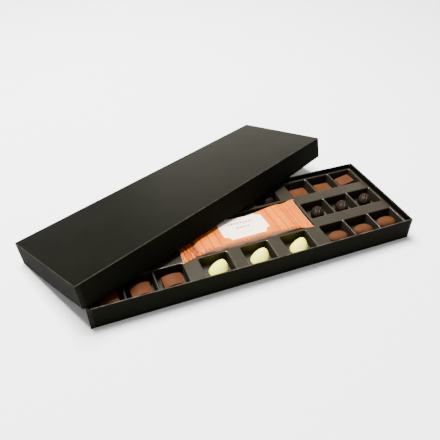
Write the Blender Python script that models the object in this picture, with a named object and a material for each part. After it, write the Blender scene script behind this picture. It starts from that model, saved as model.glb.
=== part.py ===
"""Flat card gift box of chocolates with its lid leaning askew on it.

A black card base holds a thermoformed plastic insert with pockets in three rows. Each pocket has one
praline, and a printed film pouch lies in the long recess in the middle. The lid rests on the base's
front left corner and on its back wall, with its back edge down on the table.

Frame: metres, +X along the base's length, +Y to its back, +Z up, origin under the centre of the base.
"""
import math

import bmesh
import bpy
from mathutils import Matrix, Vector

# ---------------------------------------------------------------- driving dimensions
BASE_LENGTH = 0.400
BASE_DEPTH = 0.1372
BASE_HEIGHT = 0.0296
CARD = 0.0015                  # one layer of card
END_WALL = 0.0026              # the end walls are folded over and so are double
GAP = 0.0003                   # clearance between pieces that touch
LONG_STEPS = 8                 # facets along a long wall
SHORT_STEPS = 2                # facets along an end wall
BASE_BOW = (0.0013, 0.0006, 0.0004)    # outward bow of the open edge: front, back, ends
SLIT_WIDTH = 0.0011            # slit in the long walls beside each folded end wall
SLIT_DEPTH = 0.0026

LID_OVERSIZE = 0.004           # the lid is larger than the base by this, in length and depth
LID_HEIGHT = 0.0294
LID_BOW = (0.0046, 0.0, 0.0008)
LID_CENTRE = (-0.04705, 0.07945)       # middle of the lid's open side, in plan
LID_TURN = math.radians(24.33)
LID_CLEARANCE = 0.0005         # between the lid's open edge and the base's rim

INSERT_TOP = 0.0230            # flat top of the plastic insert
INSERT_WALL = 0.0005
POCKET_DEPTH = 0.0140
POCKET_X = 0.0337              # the pockets of the left and right groups
CENTRE_POCKET_X = 0.0352       # the pockets in front of and behind the recess
POCKET_Y = 0.0310
POCKET_CORNER = 0.0019
POCKET_DRAFT = 0.0009          # each wall leans in by this towards the pocket's floor
ARC_STEPS = 2                  # facets in a pocket's rounded corner
COLUMN_PITCH = 0.0357          # between the columns of one group of pockets
ROW_PITCH = 0.0478
GROUP_X = 0.14085              # middle column of the left and right groups
CENTRE_PITCH = 0.0517          # between the pockets in front of and behind the recess
RECESS_X = 0.0850              # half sizes of the recess that holds the pouch
RECESS_Y = 0.0284
RECESS_DEPTH = 0.0060
SKIRT_LEAN = 0.0002            # the insert's outer skirt widens by this towards the floor

POUCH_TURN = math.radians(0.8)         # it lies a little askew in the recess
POUCH_BODY = (-0.0690, 0.0670)         # where the two flat end seals begin
POUCH_ENDS = (-0.0866, 0.0823)
POUCH_END_SLANT = 0.0010       # the ends are cut askew, further out at the back
POUCH_END_CURVE = 0.0012       # how far the middle of a seal's outer end is drawn in
POUCH_SLOPE = 0.0110           # length over which the body grows out of a seal
POUCH_FRONT = -0.0290
POUCH_BACK = 0.0254
POUCH_TOP = 0.0287
POUCH_BACK_DROP = 0.0022       # how much lower its top is along the back
POUCH_SEAL_Z = 0.0235          # underside of the flat end seals
POUCH_FILM = 0.0006            # thickness of a seal
POUCH_FLARE = (0.0054, 0.0034)         # how far a seal's outer end spreads at its front and back
POUCH_WAIST = 0.0012           # how much narrower it is where a seal begins
POUCH_INSET = 0.0032           # how much narrower it is inside the recess than above it
POUCH_ROUND = 0.45             # power of its round edge: 1 is an ellipse and 0 a box
POUCH_FACETS = 8               # facets over its top, front to back

ROUND_STEPS = 20               # facets round a domed praline
DOME_STEPS = 6                 # facets from its foot to its crown
RIDGES = 5                     # grooves over a ridged dark praline
RIDGE_DEPTH = 0.0007

# ---------------------------------------------------------------- colours
BLACK_CARD = (0.020, 0.020, 0.017)
BLACK_PLASTIC = (0.050, 0.048, 0.044)
FILM_ORANGE = (0.95, 0.45, 0.22)
MILK = (0.26, 0.105, 0.055)
DARK = (0.045, 0.022, 0.018)
WHITE = (0.90, 0.86, 0.60)


def clear_scene():
    """Take every object out of the scene."""
    for item in list(bpy.data.objects):
        bpy.data.objects.remove(item, do_unlink=True)


def make_material(name, colour, roughness):
    """A Principled material in one colour."""
    material = bpy.data.materials.new(name)
    material.use_nodes = True
    shader = material.node_tree.nodes["Principled BSDF"]
    shader.inputs["Base Color"].default_value = (*colour, 1.0)
    shader.inputs["Roughness"].default_value = roughness
    return material


def add_object(name, bm, material, smooth_degrees=None):
    """Turn a bmesh into a named object with its normals pointing outwards."""
    bmesh.ops.recalc_face_normals(bm, faces=bm.faces[:])
    mesh = bpy.data.meshes.new(name)
    bm.to_mesh(mesh)
    bm.free()
    mesh.materials.append(material)
    if smooth_degrees is not None:
        mesh.shade_smooth()
        mesh.set_sharp_from_angle(angle=math.radians(smooth_degrees))
    item = bpy.data.objects.new(name, mesh)
    bpy.context.scene.collection.objects.link(item)
    return item


def loft(rings, cap_start=True, cap_end=True):
    """Join rings of equally many points by quads and close both ends with one face each."""
    bm = bmesh.new()
    loops = [[bm.verts.new(point) for point in ring] for ring in rings]
    count = len(loops[0])
    for lower, upper in zip(loops, loops[1:]):
        for i in range(count):
            j = (i + 1) % count
            bm.faces.new((lower[i], lower[j], upper[j], upper[i]))
    if cap_start:
        bm.faces.new(loops[0][::-1])
    if cap_end:
        bm.faces.new(loops[-1])
    return bm


# ---------------------------------------------------------------- card base and lid
def wall_loop(half_x, half_y, bow, z):
    """Points round a rectangle at one height, its sides bowed outward: front, right, back, left."""
    corners = [Vector((-half_x, -half_y, z)), Vector((half_x, -half_y, z)),
               Vector((half_x, half_y, z)), Vector((-half_x, half_y, z))]
    outward = [Vector((0, -1, 0)), Vector((1, 0, 0)), Vector((0, 1, 0)), Vector((-1, 0, 0))]
    amounts = (bow[0], bow[2], bow[1], bow[2])
    steps = (LONG_STEPS, SHORT_STEPS, LONG_STEPS, SHORT_STEPS)
    points = []
    for side in range(4):
        start, end = corners[side], corners[(side + 1) % 4]
        for i in range(steps[side]):
            t = i / steps[side]
            points.append(start.lerp(end, t) + outward[side] * (amounts[side] * 4 * t * (1 - t)))
    return points


def card_tray(name, length, depth, height, bow, material):
    """Open tray of folded card standing on its closed face, with its open edge bowed outward."""
    straight = (0, 0, 0)
    rings = [
        wall_loop(length / 2, depth / 2, straight, 0),
        wall_loop(length / 2, depth / 2, bow, height),
        wall_loop(length / 2 - END_WALL, depth / 2 - CARD, bow, height),
        wall_loop(length / 2 - END_WALL, depth / 2 - CARD, straight, CARD),
    ]
    return add_object(name, loft(rings), material)


def cut_corner_slits(tray, length, depth, height):
    """Slits where the long walls meet the folded end walls."""
    bm = bmesh.new()
    for side_x in (-1, 1):
        for side_y in (-1, 1):
            centre = Vector((side_x * (length / 2 - END_WALL - SLIT_WIDTH / 2), side_y * depth / 2, height))
            size = Matrix.Diagonal((SLIT_WIDTH, 3 * CARD, 2 * SLIT_DEPTH, 1))
            bmesh.ops.create_cube(bm, size=1, matrix=Matrix.Translation(centre) @ size)
    cutter = add_object("slit_cutter", bm, tray.data.materials[0])
    cutter.hide_render = True
    cutter.display_type = "WIRE"
    cut = tray.modifiers.new("corner slits", "BOOLEAN")
    cut.operation = "DIFFERENCE"
    cut.object = cutter


def make_base(material):
    base = card_tray("base_box", BASE_LENGTH, BASE_DEPTH, BASE_HEIGHT, BASE_BOW, material)
    cut_corner_slits(base, BASE_LENGTH, BASE_DEPTH, BASE_HEIGHT)


def make_lid(material):
    """The lid is a larger tray turned upside down, then leaned with its front edge on the base."""
    depth = BASE_DEPTH + LID_OVERSIZE
    bow = (LID_BOW[1], LID_BOW[0], LID_BOW[2])
    lid = card_tray("lid", BASE_LENGTH + LID_OVERSIZE, depth, LID_HEIGHT, bow, material)
    rise = BASE_HEIGHT + LID_CLEARANCE
    lean = math.asin(rise / depth)
    turn_over = Matrix.Translation((0, 0, LID_HEIGHT)) @ Matrix.Rotation(math.pi, 4, "X")
    place = Matrix.Translation((*LID_CENTRE, rise / 2))
    turn = Matrix.Rotation(LID_TURN, 4, "Z") @ Matrix.Rotation(-lean, 4, "X")
    lid.matrix_world = place @ turn @ turn_over


# ---------------------------------------------------------------- plastic insert
def rounded_outline(cx, cy, half_x, half_y, radius, z):
    """Rectangle with rounded corners at one height."""
    points = []
    for quarter, (side_x, side_y) in enumerate(((1, 1), (-1, 1), (-1, -1), (1, -1))):
        for i in range(ARC_STEPS + 1):
            angle = math.pi / 2 * (quarter + i / ARC_STEPS)
            points.append(Vector((cx + side_x * (half_x - radius) + radius * math.cos(angle),
                                  cy + side_y * (half_y - radius) + radius * math.sin(angle), z)))
    return points


def hollow_plan():
    """Every pocket and the recess, as (x, y, half length, half depth, how deep)."""
    group = [side * GROUP_X + k * COLUMN_PITCH for side in (-1, 1) for k in (-1, 0, 1)]
    centre = [k * CENTRE_PITCH for k in (-1, 0, 1)]
    places = [(x, row, POCKET_X) for row in (-1, 0, 1) for x in group]
    places += [(x, row, CENTRE_POCKET_X) for row in (-1, 1) for x in centre]
    pockets = [(x, row * ROW_PITCH, length / 2, POCKET_Y / 2, POCKET_DEPTH) for x, row, length in places]
    return pockets + [(0, 0, RECESS_X, RECESS_Y, RECESS_DEPTH)]


def add_loop(bm, points):
    """Closed loop of edges through the points."""
    verts = [bm.verts.new(point) for point in points]
    return [bm.edges.new((verts[i], verts[(i + 1) % len(verts)])) for i in range(len(verts))]


def pull_loop(bm, edges, points):
    """Extrude a loop of edges to new points and return the new loop's vertices in order."""
    ring = [edge.verts[0] for edge in edges]
    first = edges[0]
    if first.verts[0] in edges[1].verts:
        ring = [edge.verts[1] for edge in edges]
    lower = [bm.verts.new(point) for point in points]
    count = len(ring)
    for i in range(count):
        j = (i + 1) % count
        bm.faces.new((ring[i], ring[j], lower[j], lower[i]))
    return lower


def make_insert(material):
    """One moulded sheet: flat top, a pocket for each praline, a recess and a skirt to the floor."""
    bm = bmesh.new()
    rim_x = BASE_LENGTH / 2 - END_WALL - GAP - SKIRT_LEAN
    rim_y = BASE_DEPTH / 2 - CARD - GAP - SKIRT_LEAN
    outer = rounded_outline(0, 0, rim_x, rim_y, POCKET_CORNER, INSERT_TOP)
    loops = [(add_loop(bm, outer), None)]
    for x, y, half_x, half_y, deep in hollow_plan():
        edges = add_loop(bm, rounded_outline(x, y, half_x, half_y, POCKET_CORNER, INSERT_TOP))
        lean = POCKET_DRAFT * deep / POCKET_DEPTH
        floor = rounded_outline(x, y, half_x - lean, half_y - lean, POCKET_CORNER, INSERT_TOP - deep)
        loops.append((edges, floor))
    bmesh.ops.triangle_fill(bm, edges=[edge for edges, _ in loops for edge in edges],
                            use_dissolve=False, normal=(0, 0, 1))
    for edges, floor in loops[1:]:
        bm.faces.new(pull_loop(bm, edges, floor))
    skirt = rounded_outline(0, 0, rim_x + SKIRT_LEAN, rim_y + SKIRT_LEAN, POCKET_CORNER, CARD + GAP)
    pull_loop(bm, loops[0][0], skirt)
    insert = add_object("insert", bm, material)
    wall = insert.modifiers.new("sheet thickness", "SOLIDIFY")
    wall.thickness = INSERT_WALL
    wall.offset = -1
    wall.use_even_offset = True


# ---------------------------------------------------------------- pouch
def smooth_step(value):
    """0 below 0, 1 above 1, and an S curve between."""
    value = max(0.0, min(1.0, value))
    return value * value * (3 - 2 * value)


def pouch_ring(x):
    """Cross-section at x: flat in the seals, and in the body a soft-edged slab, lower at its back.

    Above the insert the body is at its full width. Below that it is narrower, down in the recess.
    """
    inside = min(x - POUCH_BODY[0], POUCH_BODY[1] - x)
    swell = smooth_step(inside / POUCH_SLOPE)
    spread = max(0.0, -inside) / (POUCH_ENDS[1] - POUCH_BODY[1])
    waist = POUCH_WAIST * (1 - swell)
    front = POUCH_FRONT - POUCH_FLARE[0] * spread + waist
    back = POUCH_BACK + POUCH_FLARE[1] * spread - waist
    centre, half = (front + back) / 2, (back - front) / 2
    seal_top = POUCH_SEAL_Z + POUCH_FILM
    top = seal_top + (POUCH_TOP - seal_top) * swell
    bottom = POUCH_SEAL_Z + (INSERT_TOP - RECESS_DEPTH + GAP - POUCH_SEAL_Z) * swell
    least = 0.05
    points = []
    for i in range(POUCH_FACETS + 1):
        angle = math.pi * i / POUCH_FACETS
        across = math.copysign(abs(math.cos(angle)) ** POUCH_ROUND, math.cos(angle))
        up = max(least, abs(math.sin(angle)) ** POUCH_ROUND)
        drop = POUCH_BACK_DROP * swell * (1 + across) / 2
        points.append((centre + half * across, POUCH_SEAL_Z + (top - drop - POUCH_SEAL_Z) * up))
    lower = half - POUCH_INSET * swell
    corner = POUCH_INSET / 3
    under = ((0.03, 0), (0.8, corner), (1, 3 * corner))
    for side, steps in ((-1, under), (1, under[::-1])):
        for level, inward in steps:
            height = POUCH_SEAL_Z + (bottom - POUCH_SEAL_Z) * level
            points.append((centre + side * (lower - inward), height))
    end = math.copysign(spread, x)
    ring = []
    for y, z in points:
        across = (y - centre) / half
        shift = spread * POUCH_END_SLANT * across - end * POUCH_END_CURVE * (1 - across * across)
        ring.append((x + shift, y, z))
    return ring


def make_pouch(material):
    """Printed film pouch: swollen body between two flat, flared end seals."""
    seal_left = (POUCH_BODY[0] - POUCH_ENDS[0]) / 2
    seal_right = (POUCH_ENDS[1] - POUCH_BODY[1]) / 2
    rise = [POUCH_SLOPE * k / 4 for k in range(5)]
    middle = [POUCH_BODY[0] + POUCH_SLOPE + (POUCH_BODY[1] - POUCH_BODY[0] - 2 * POUCH_SLOPE) * k / 5
              for k in range(1, 5)]
    stations = ([POUCH_ENDS[0], POUCH_ENDS[0] + seal_left] + [POUCH_BODY[0] + r for r in rise] + middle
                + [POUCH_BODY[1] - r for r in reversed(rise)] + [POUCH_ENDS[1] - seal_right, POUCH_ENDS[1]])
    pouch = add_object("pouch", loft([pouch_ring(x) for x in stations]), material, 50)
    pouch.rotation_euler.z = POUCH_TURN


# ---------------------------------------------------------------- pralines
def dome_rings(half_x, half_y, height, foot, belly, lean=(0, 0), power=2.0):
    """Rings of a round-topped praline.

    Its side swells from foot (a share of the full width) at the bottom to the full width at the
    belly, a share of the height, and then closes to the crown, which may lean off centre.
    """
    rings = []
    levels = [0.0, belly * 0.5] + [belly + (1 - belly) * math.sin(math.pi / 2 * k / DOME_STEPS)
                                   for k in range(DOME_STEPS)]
    for level in levels:
        if level < belly:
            width = foot + (1 - foot) * math.sin(math.pi / 2 * level / belly)
        else:
            width = (1 - ((level - belly) / (1 - belly)) ** power) ** (1 / power)
        ring = []
        for i in range(ROUND_STEPS):
            angle = 2 * math.pi * i / ROUND_STEPS
            ring.append(Vector((half_x * width * math.cos(angle) + lean[0] * level ** 2,
                                half_y * width * math.sin(angle) + lean[1] * level ** 2,
                                height * level)))
        rings.append(ring)
    return rings


def closed_dome(rings, crown):
    """Loft the rings and close the top with a fan of triangles to the crown."""
    bm = loft(rings, cap_end=False)
    bm.verts.ensure_lookup_table()
    tip = bm.verts.new(crown)
    top = bm.verts[-1 - ROUND_STEPS:-1]
    for i in range(ROUND_STEPS):
        bm.faces.new((top[i], top[(i + 1) % ROUND_STEPS], tip))
    return bm


def milk_oval():
    """Smooth oval dome."""
    half_x, half_y, height = 0.0130, 0.0092, 0.0112
    return closed_dome(dome_rings(half_x, half_y, height, 0.80, 0.34), (0, 0, height))


def dark_round():
    """Smooth round dome."""
    half_x, half_y, height = 0.0104, 0.0100, 0.0126
    return closed_dome(dome_rings(half_x, half_y, height, 0.84, 0.30), (0, 0, height))


def white_egg():
    """Tall pointed dome whose crown leans off centre."""
    half_x, half_y, height, lean = 0.0118, 0.0097, 0.0144, (0.0058, 0.0026)
    return closed_dome(dome_rings(half_x, half_y, height, 0.80, 0.26, lean, 1.65), (*lean, height))


def dark_ridged():
    """Oval dome with shallow grooves along its length."""
    half_x, half_y, height = 0.0109, 0.0086, 0.0134
    rings = dome_rings(half_x, half_y, height, 0.82, 0.30)
    for ring in rings:
        for point in ring:
            across = point.y / half_y
            groove = RIDGE_DEPTH * (0.5 - 0.5 * math.cos(math.pi * RIDGES * across))
            point.z -= groove * smooth_step(point.z / height / 0.5)
    return closed_dome(rings, (0, 0, height))


def milk_log():
    """Arched bar: flat foot, upright sides and a low arch across, run along its depth."""
    half_x, half_y, height, side_height, end_round = 0.0111, 0.0100, 0.0121, 0.0097, 0.0009
    arch_steps = 8
    profile = [(half_x * 0.95, 0.0)]
    for i in range(arch_steps + 1):
        across = math.cos(math.pi * i / arch_steps)
        rise = side_height + (height - side_height) * (1 - across * across)
        profile.append((half_x * across, rise))
    profile.append((-half_x * 0.95, 0.0))
    rings = []
    for y, size in ((-half_y, 0.93), (-half_y + end_round, 1.0), (half_y - end_round, 1.0), (half_y, 0.93)):
        rings.append([Vector((x * size, y, z * size)) for x, z in profile])
    return loft(rings)


def milk_block():
    """Low rectangular praline with soft edges and corners."""
    half_x, half_y, height, edge = 0.0113, 0.0091, 0.0098, 0.0016
    corner = 0.0024
    levels = ((0.0, 0.5), (edge * 0.6, 0.0), (height - edge, 0.2), (height - edge * 0.3, 0.8), (height, 1.5))
    rings = []
    for z, inset in levels:
        inward = edge * inset
        rings.append(rounded_outline(0, 0, half_x - inward, half_y - inward, corner, z))
    return loft(rings)


KINDS = {
    "milk_log": (milk_log, "milk", 35),
    "milk_oval": (milk_oval, "milk", 60),
    "milk_block": (milk_block, "milk", 35),
    "dark_ridged": (dark_ridged, "dark", 60),
    "dark_round": (dark_round, "dark", 60),
    "white_egg": (white_egg, "white", 60),
}

# Each row of three: name, kind, x of its middle pocket, pitch, row number from the front (-1, 0, 1),
# then for each piece how far it lies off its pocket's middle in mm, its turn in degrees and its size.
ROWS = (
    ("left_front", "milk_log", -GROUP_X, COLUMN_PITCH, -1,
     ((0.4, -2.6, 0, 1.00), (0.2, -3.2, 1, 1.00), (0.6, -2.6, 0, 1.02))),
    ("left_middle", "dark_ridged", -GROUP_X, COLUMN_PITCH, 0,
     ((0.8, -0.6, 48, 1.00), (-0.9, 0.9, 60, 0.98), (0.4, -0.3, 52, 1.01))),
    ("left_back", "milk_oval", -GROUP_X, COLUMN_PITCH, 1,
     ((-0.8, 0.7, 4, 1.01), (1.1, -0.9, -6, 0.98), (-0.5, 0.4, 2, 1.00))),
    ("centre_front", "white_egg", 0.0, CENTRE_PITCH, -1,
     ((1.2, -0.9, 12, 1.00), (1.3, -0.9, 14, 1.01), (1.0, -1.0, 16, 0.99))),
    ("centre_back", "dark_round", 0.0, CENTRE_PITCH, 1,
     ((-1.2, 0.8, 20, 1.00), (0.9, -0.7, 70, 0.99), (4.6, -1.0, 40, 1.00))),
    ("right_front", "milk_oval", GROUP_X, COLUMN_PITCH, -1,
     ((1.1, -2.3, -2, 1.01), (2.2, -1.9, -5, 0.99), (2.0, 0.2, -2, 1.00))),
    ("right_middle", "dark_ridged", GROUP_X, COLUMN_PITCH, 0,
     ((2.3, 1.3, 50, 1.00), (3.2, 0.5, 54, 1.00), (4.4, 3.2, 46, 1.00))),
    ("right_back", "milk_block", GROUP_X, COLUMN_PITCH, 1,
     ((-2.2, -3.8, 0, 1.05), (-0.8, -4.6, -2, 1.02), (1.8, 1.9, 11, 1.05))),
)


def make_pralines(materials):
    """Lay one praline in each pocket, three of a kind in a row."""
    floor = INSERT_TOP - POCKET_DEPTH + GAP
    for row, kind, middle, pitch, line, pieces in ROWS:
        build, finish, smooth = KINDS[kind]
        for k, (off_x, off_y, turn, size) in enumerate(pieces):
            praline = add_object(f"{kind}_{row}_{k + 1}", build(), materials[finish], smooth)
            praline.data.transform(Matrix.Scale(size, 4))
            across, along = middle + (k - 1) * pitch, line * ROW_PITCH
            praline.location = (across + off_x / 1000, along + off_y / 1000, floor)
            praline.rotation_euler.z = math.radians(turn)


def main():
    clear_scene()
    materials = {
        "card": make_material("black card", BLACK_CARD, 0.55),
        "plastic": make_material("black plastic", BLACK_PLASTIC, 0.35),
        "film": make_material("printed film", FILM_ORANGE, 0.40),
        "milk": make_material("milk chocolate", MILK, 0.45),
        "dark": make_material("dark chocolate", DARK, 0.35),
        "white": make_material("white chocolate", WHITE, 0.40),
    }
    make_base(materials["card"])
    make_insert(materials["plastic"])
    make_lid(materials["card"])
    make_pouch(materials["film"])
    make_pralines(materials)


main()
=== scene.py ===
"""Dress an open card box of pralines: black card base and lid, moulded insert, film pouch, chocolates.

Frame: metres, +X along the base's length, +Y to its back, +Z up, origin under the centre of the base.
Every piece is a surface worked out with numpy and placed by its CAD node's box.
"""
import math

import bpy
import numpy as np
from bpy.props import FloatProperty, FloatVectorProperty, PointerProperty
from mathutils import Matrix, Vector


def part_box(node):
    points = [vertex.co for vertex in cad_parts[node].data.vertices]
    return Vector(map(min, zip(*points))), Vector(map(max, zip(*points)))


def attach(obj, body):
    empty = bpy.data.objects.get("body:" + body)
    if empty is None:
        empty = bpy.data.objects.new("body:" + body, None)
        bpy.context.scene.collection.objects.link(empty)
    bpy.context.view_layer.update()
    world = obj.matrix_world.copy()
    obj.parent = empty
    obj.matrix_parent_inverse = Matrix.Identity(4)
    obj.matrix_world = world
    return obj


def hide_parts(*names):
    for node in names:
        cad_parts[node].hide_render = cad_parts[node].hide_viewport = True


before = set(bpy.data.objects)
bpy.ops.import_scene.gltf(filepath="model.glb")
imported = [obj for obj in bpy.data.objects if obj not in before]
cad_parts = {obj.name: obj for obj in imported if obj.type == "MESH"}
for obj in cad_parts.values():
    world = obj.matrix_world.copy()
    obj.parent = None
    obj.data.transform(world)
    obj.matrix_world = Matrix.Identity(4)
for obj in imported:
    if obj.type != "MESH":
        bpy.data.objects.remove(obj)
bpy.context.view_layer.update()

bl_info = {
    "name": "Praline Box",
    "version": (1, 0, 0),
    "blender": (4, 5, 0),
    "location": "3D View > Sidebar > Praline Box",
    "description": "Builds an open card box of pralines with its lid leaning on it",
    "category": "Add Mesh",
}

MM = 0.001
WELD = 2e-7                    # points nearer than this are one point
TOP_POINTS = 171               # points over the top of one cross-section of the pouch

GROUP_MIDDLE = 140.85 * MM     # middle column of the left and right groups of pockets
COLUMN_PITCH = 35.7 * MM
ROW_PITCH = 47.8 * MM
CENTRE_PITCH = 51.7 * MM       # between the pockets in front of and behind the pouch
LID_TURN = math.radians(24.33)

# Rows of pralines: kind, turn of each of the three in degrees.
ROWS = {
    "left_front": ("milk_log", (0, 1, 0)),
    "left_middle": ("dark_ridged", (48, 60, 52)),
    "left_back": ("milk_oval", (4, -6, 2)),
    "centre_front": ("white_egg", (12, 14, 16)),
    "centre_back": ("dark_round", (20, 70, 40)),
    "right_front": ("milk_oval", (-2, -5, -2)),
    "right_middle": ("dark_ridged", (50, 54, 46)),
    "right_back": ("milk_block", (0, -2, 4)),
}


def low(node):
    """Lowest corner of a CAD node."""
    return np.array(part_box(node)[0])


def high(node):
    """Highest corner of a CAD node."""
    return np.array(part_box(node)[1])


# ------------------------------------------------------------------ settings
def size(name, description, default):
    """A length that the user may change."""
    return FloatProperty(name=name, description=description, default=default, min=0.0, precision=5,
                         unit="LENGTH")


def share(name, description, default):
    """A number from 0 to 1."""
    return FloatProperty(name=name, description=description, default=default, min=0.0, max=1.0,
                         subtype="FACTOR")


def colour(name, description, default):
    """A colour that the user may change."""
    return FloatVectorProperty(name=name, description=description, default=default, min=0.0, max=1.0,
                               size=3, subtype="COLOR")


class CardSettings(bpy.types.PropertyGroup):
    """Sizes and colours of the card base and lid."""

    length: size("Base length", "Length of the base over its outer walls", 400 * MM)
    depth: size("Base depth", "Depth of the base over its outer walls", 137.2 * MM)
    lid_oversize: size("Lid oversize", "How much longer and deeper the lid is than the base", 4 * MM)
    lid_height: size("Lid height", "Height of the lid's walls", 29.4 * MM)
    card: size("Card", "Thickness of one layer of card", 1.5 * MM)
    end_wall: size("End wall", "Thickness of the doubled end walls", 2.6 * MM)
    fold: size("Fold radius", "Outer radius of a fold in the card", 0.75 * MM)
    colour: colour("Paper", "Colour of the black covering paper", (0.0027, 0.0028, 0.0018))
    # Pale tone of folds, rims and corners: partly rubbed card, partly painted highlight.
    wear_and_highlight: colour("Worn paper", "Colour where folds and rims are rubbed", (0.055, 0.050, 0.038))
    roughness: share("Roughness", "Mean roughness of the covering paper", 0.34)
    gloss: share("Gloss", "Strength of the paper's mirror reflection", 0.020)


class InsertSettings(bpy.types.PropertyGroup):
    """Sizes and colours of the moulded insert."""

    pocket_depth: size("Pocket depth", "Depth of a praline's pocket", 14 * MM)
    recess_depth: size("Recess depth", "Depth of the recess for the pouch", 6 * MM)
    rim: size("Rim radius", "Radius of the rounded edge of a pocket", 0.9 * MM)
    corner: size("Corner radius", "Radius of a pocket's corners in plan", 2.2 * MM)
    sheet: size("Sheet", "Thickness of the moulded sheet", 0.45 * MM)
    colour: colour("Plastic", "Colour of the sheet", (0.0162, 0.0138, 0.0092))
    # Darker than the sheet: partly the olive tint of thin drawn walls, partly painted shade in the pockets.
    deep: colour("Drawn plastic", "Colour of the thin walls of a pocket", (0.0120, 0.0100, 0.0062))
    roughness: share("Roughness", "Mean roughness of the sheet", 0.28)
    gloss: share("Gloss", "Strength of the sheet's mirror reflection", 0.18)


class PouchSettings(bpy.types.PropertyGroup):
    """Sizes and colours of the film pouch."""

    wrinkle: size("Wrinkles", "Depth of the wrinkles in the film", 0.45 * MM)
    plaque_x: size("Plaque half length", "Half the length of the white plaque", 30 * MM)
    plaque_y: size("Plaque half width", "Half the width of the white plaque", 21 * MM)
    notch: size("Plaque notch", "Radius of the round notches in the plaque's corners", 7 * MM)
    stripe: size("Line pitch", "Distance between the printed lines", 10.5 * MM)
    ground: colour("Ground", "Ground colour of the print", (0.56, 0.120, 0.0004))
    line: colour("Lines", "Colour of the printed lines", (0.32, 0.045, 0.004))
    plaque: colour("Plaque", "Colour of the plaque", (0.93, 0.80, 0.66))
    ornament: colour("Ornament", "Colour of the small lozenges", (0.30, 0.045, 0.035))
    # The side colour is partly the paler unprinted film and partly painted shade: it is much darker than the print.
    side: colour("Side", "Colour of the unprinted side", (0.17, 0.083, 0.045))


class PralineSettings(bpy.types.PropertyGroup):
    """Colours and unevenness of the pralines."""

    uneven: size("Unevenness", "Height of the soft bumps in a praline's skin", 0.10 * MM)
    milk: colour("Milk", "Colour of milk chocolate", (0.048, 0.0150, 0.0052))
    milk_bloom: colour("Milk bloom", "Colour of paler patches on milk chocolate", (0.068, 0.0238, 0.0092))
    dark: colour("Dark", "Colour of dark chocolate", (0.0060, 0.0031, 0.0016))
    dark_bloom: colour("Dark bloom", "Colour of paler patches on dark chocolate", (0.0160, 0.0088, 0.0048))
    white: colour("White", "Colour of white chocolate", (0.93, 0.875, 0.062))
    white_bloom: colour("White bloom", "Colour of paler patches on white chocolate", (0.94, 0.90, 0.125))


class StageSettings(bpy.types.PropertyGroup):
    """Floor and light."""

    floor: colour("Floor", "Colour of the floor", (0.90, 0.90, 0.90))
    sky: FloatProperty(name="Room light", description="Strength of the even room light", default=0.60)
    key: FloatProperty(name="Main light", description="Power of the soft box overhead", default=222.0,
                       unit="POWER")
    back: FloatProperty(name="Back light", description="Power of the panel behind", default=19.5, unit="POWER")


# ------------------------------------------------------------------ meshes
def grid_quads(grids):
    """Corner indices of every cell of grids whose points are stacked one grid after the other."""
    quads, start = [], 0
    for grid in grids:
        index = start + np.arange(grid.shape[0] * grid.shape[1]).reshape(grid.shape[:2])
        quads.append(np.stack([index[:-1, :-1], index[:-1, 1:], index[1:, 1:], index[1:, :-1]], -1))
        start += index.size
    return np.concatenate([quad.reshape(-1, 4) for quad in quads])


def weld(grids):
    """One mesh from grids of points: equal points become one, and squashed cells become triangles.

    A cell that repeats one corner is a triangle of the other three, and one that repeats two is left
    out. Where the volume by the sum of corner products is negative, all faces are turned round.
    Returns points, quads, triangles and, for each kept point, which stacked point it was.
    """
    points = np.concatenate([grid.reshape(-1, 3) for grid in grids])
    keys = np.round(points / WELD).astype(np.int64)
    _, first, place = np.unique(keys, axis=0, return_index=True, return_inverse=True)
    cells = place.reshape(-1)[grid_quads(grids)]
    repeated = cells == np.roll(cells, 1, axis=1)
    crossed = (cells[:, 0] == cells[:, 2]) | (cells[:, 1] == cells[:, 3])
    quads = cells[(repeated.sum(1) == 0) & ~crossed]
    single = (repeated.sum(1) == 1) & ~crossed
    triangles = cells[single][~repeated[single]].reshape(-1, 3)
    points = points[first]
    fans = np.concatenate([triangles, quads[:, :3], quads[:, [0, 2, 3]]])
    corner = points[fans]
    if np.einsum("ij,ij->", corner[:, 0], np.cross(corner[:, 1], corner[:, 2])) < 0:
        quads, triangles = quads[:, ::-1], triangles[:, ::-1]
    return points, quads, triangles, first


def make_piece(name, grids, material, nodes, marks=None, modifiers=()):
    """Make a piece of the welded grids, let it ride on the root and stand for its CAD nodes.

    marks holds named values for every point of the grids: one number or three each.
    """
    points, quads, triangles, first = weld(grids)
    mesh = bpy.data.meshes.new(name)
    mesh.from_pydata(points.tolist(), [], quads.tolist() + triangles.tolist())
    for key, values in (marks or {}).items():
        vector = values[0].ndim == 3
        flat = np.concatenate([value.reshape(-1, 3) if vector else value.reshape(-1) for value in values])
        layer = mesh.attributes.new(key, "FLOAT_VECTOR" if vector else "FLOAT", "POINT")
        layer.data.foreach_set("vector" if vector else "value", flat[first].astype(np.float32).ravel())
    mesh.shade_smooth()
    mesh.materials.append(material)
    piece = bpy.data.objects.new(name, mesh)
    bpy.context.scene.collection.objects.link(piece)
    for kind, settings in modifiers:
        modifier = piece.modifiers.new(kind.lower(), kind)
        for key, value in settings.items():
            setattr(modifier, key, value)
    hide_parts(*nodes)
    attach(piece, "root")
    return piece


def smooth_step(value):
    """0 below 0, 1 above 1, and an S curve between."""
    value = np.clip(value, 0.0, 1.0)
    return value * value * (3 - 2 * value)


def ripple(a, b, seed, waves=5):
    """Smooth uneven field of two coordinates in metres: a sum of sine waves of seeded direction,
    length and phase, between about -1 and 1. Its coarsest wave is as long as one unit of a and b."""
    draw = np.random.default_rng(seed)
    total = np.zeros(np.broadcast(a, b).shape)
    for k in range(waves):
        angle, phase = draw.uniform(0, 2 * math.pi, 2)
        pitch = (1 + k) ** 0.8
        total += np.sin(2 * math.pi * pitch * (a * math.cos(angle) + b * math.sin(angle)) + phase) / (1 + k)
    return total / 1.6


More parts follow.
